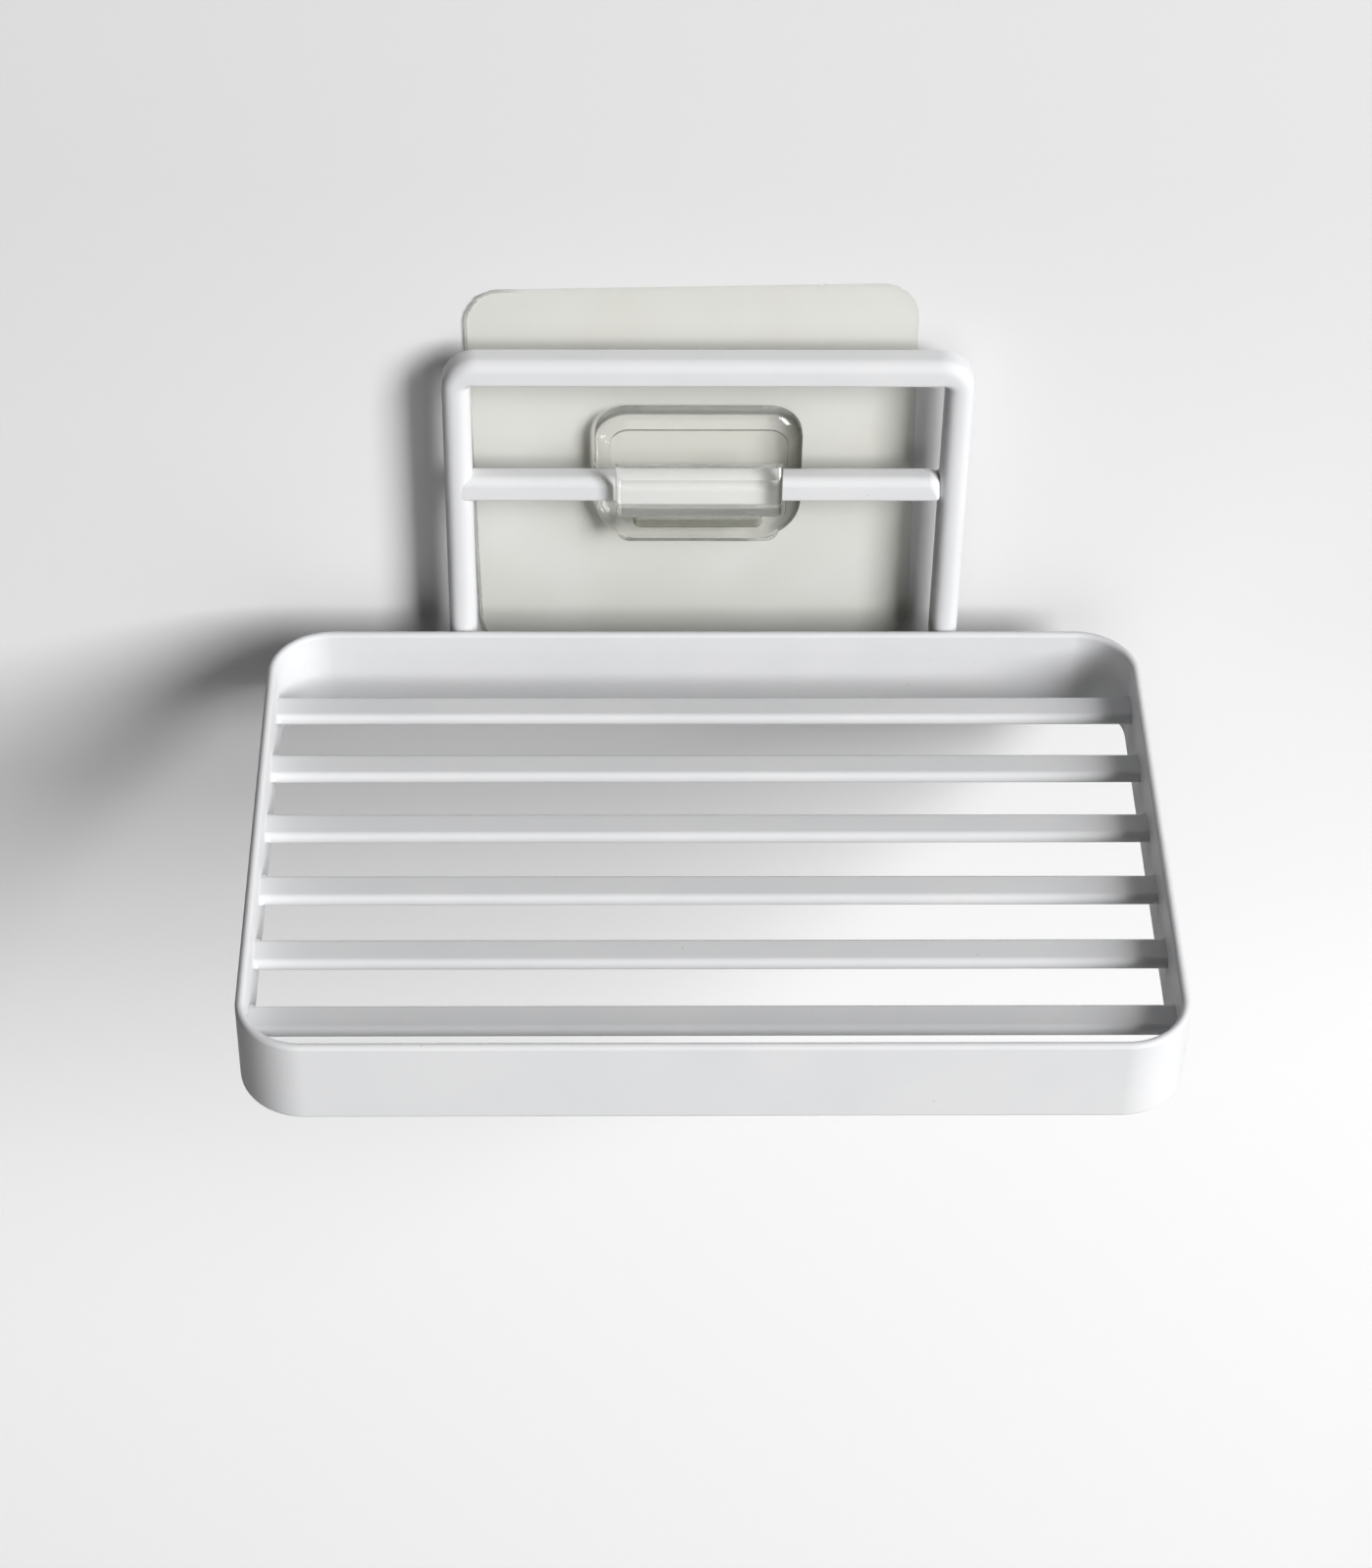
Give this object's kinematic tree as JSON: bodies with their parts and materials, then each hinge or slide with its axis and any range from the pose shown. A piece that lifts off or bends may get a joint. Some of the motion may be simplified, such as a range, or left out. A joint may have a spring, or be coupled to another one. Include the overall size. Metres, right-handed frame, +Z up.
{
  "type": "soap tray",
  "caption": "Wall-hung slatted soap tray: a rounded rim and open slats on an upright back frame that hangs on a clear adhesive hook.",
  "frame": {"origin": "on the wall's plane, at the back of the adhesive film, behind the tray's middle and level with the film's centre", "axes": "+Y into the wall, +Z up, +X along the tray's long side, to the right seen from the front"},
  "size_m": [0.13, 0.0954, 0.0711],
  "materials": {
    "white_coat": "satin white powder coat",
    "clear_film": "clear film, faintly grey",
    "clear_plastic": "clear moulded plastic",
    "silicone": "translucent silicone"
  },
  "bodies": {
    "wall_mount": {"adhesive_film": "clear_film", "hook": "clear_plastic"},
    "tray": {"rim_band": "white_coat", "back_frame": "white_coat", "crossbar": "white_coat", "slat_1": "white_coat", "slat_2": "white_coat", "slat_3": "white_coat", "slat_4": "white_coat", "slat_5": "white_coat", "slat_6": "white_coat", "bumper_left": "silicone", "bumper_right": "silicone"}
  },
  "joints": [
    {"name": "tray_lift", "type": "slide", "parent": "wall_mount", "child": "tray", "axis": [0, 0, 1], "range_m": [0, 0.012]}
  ]
}
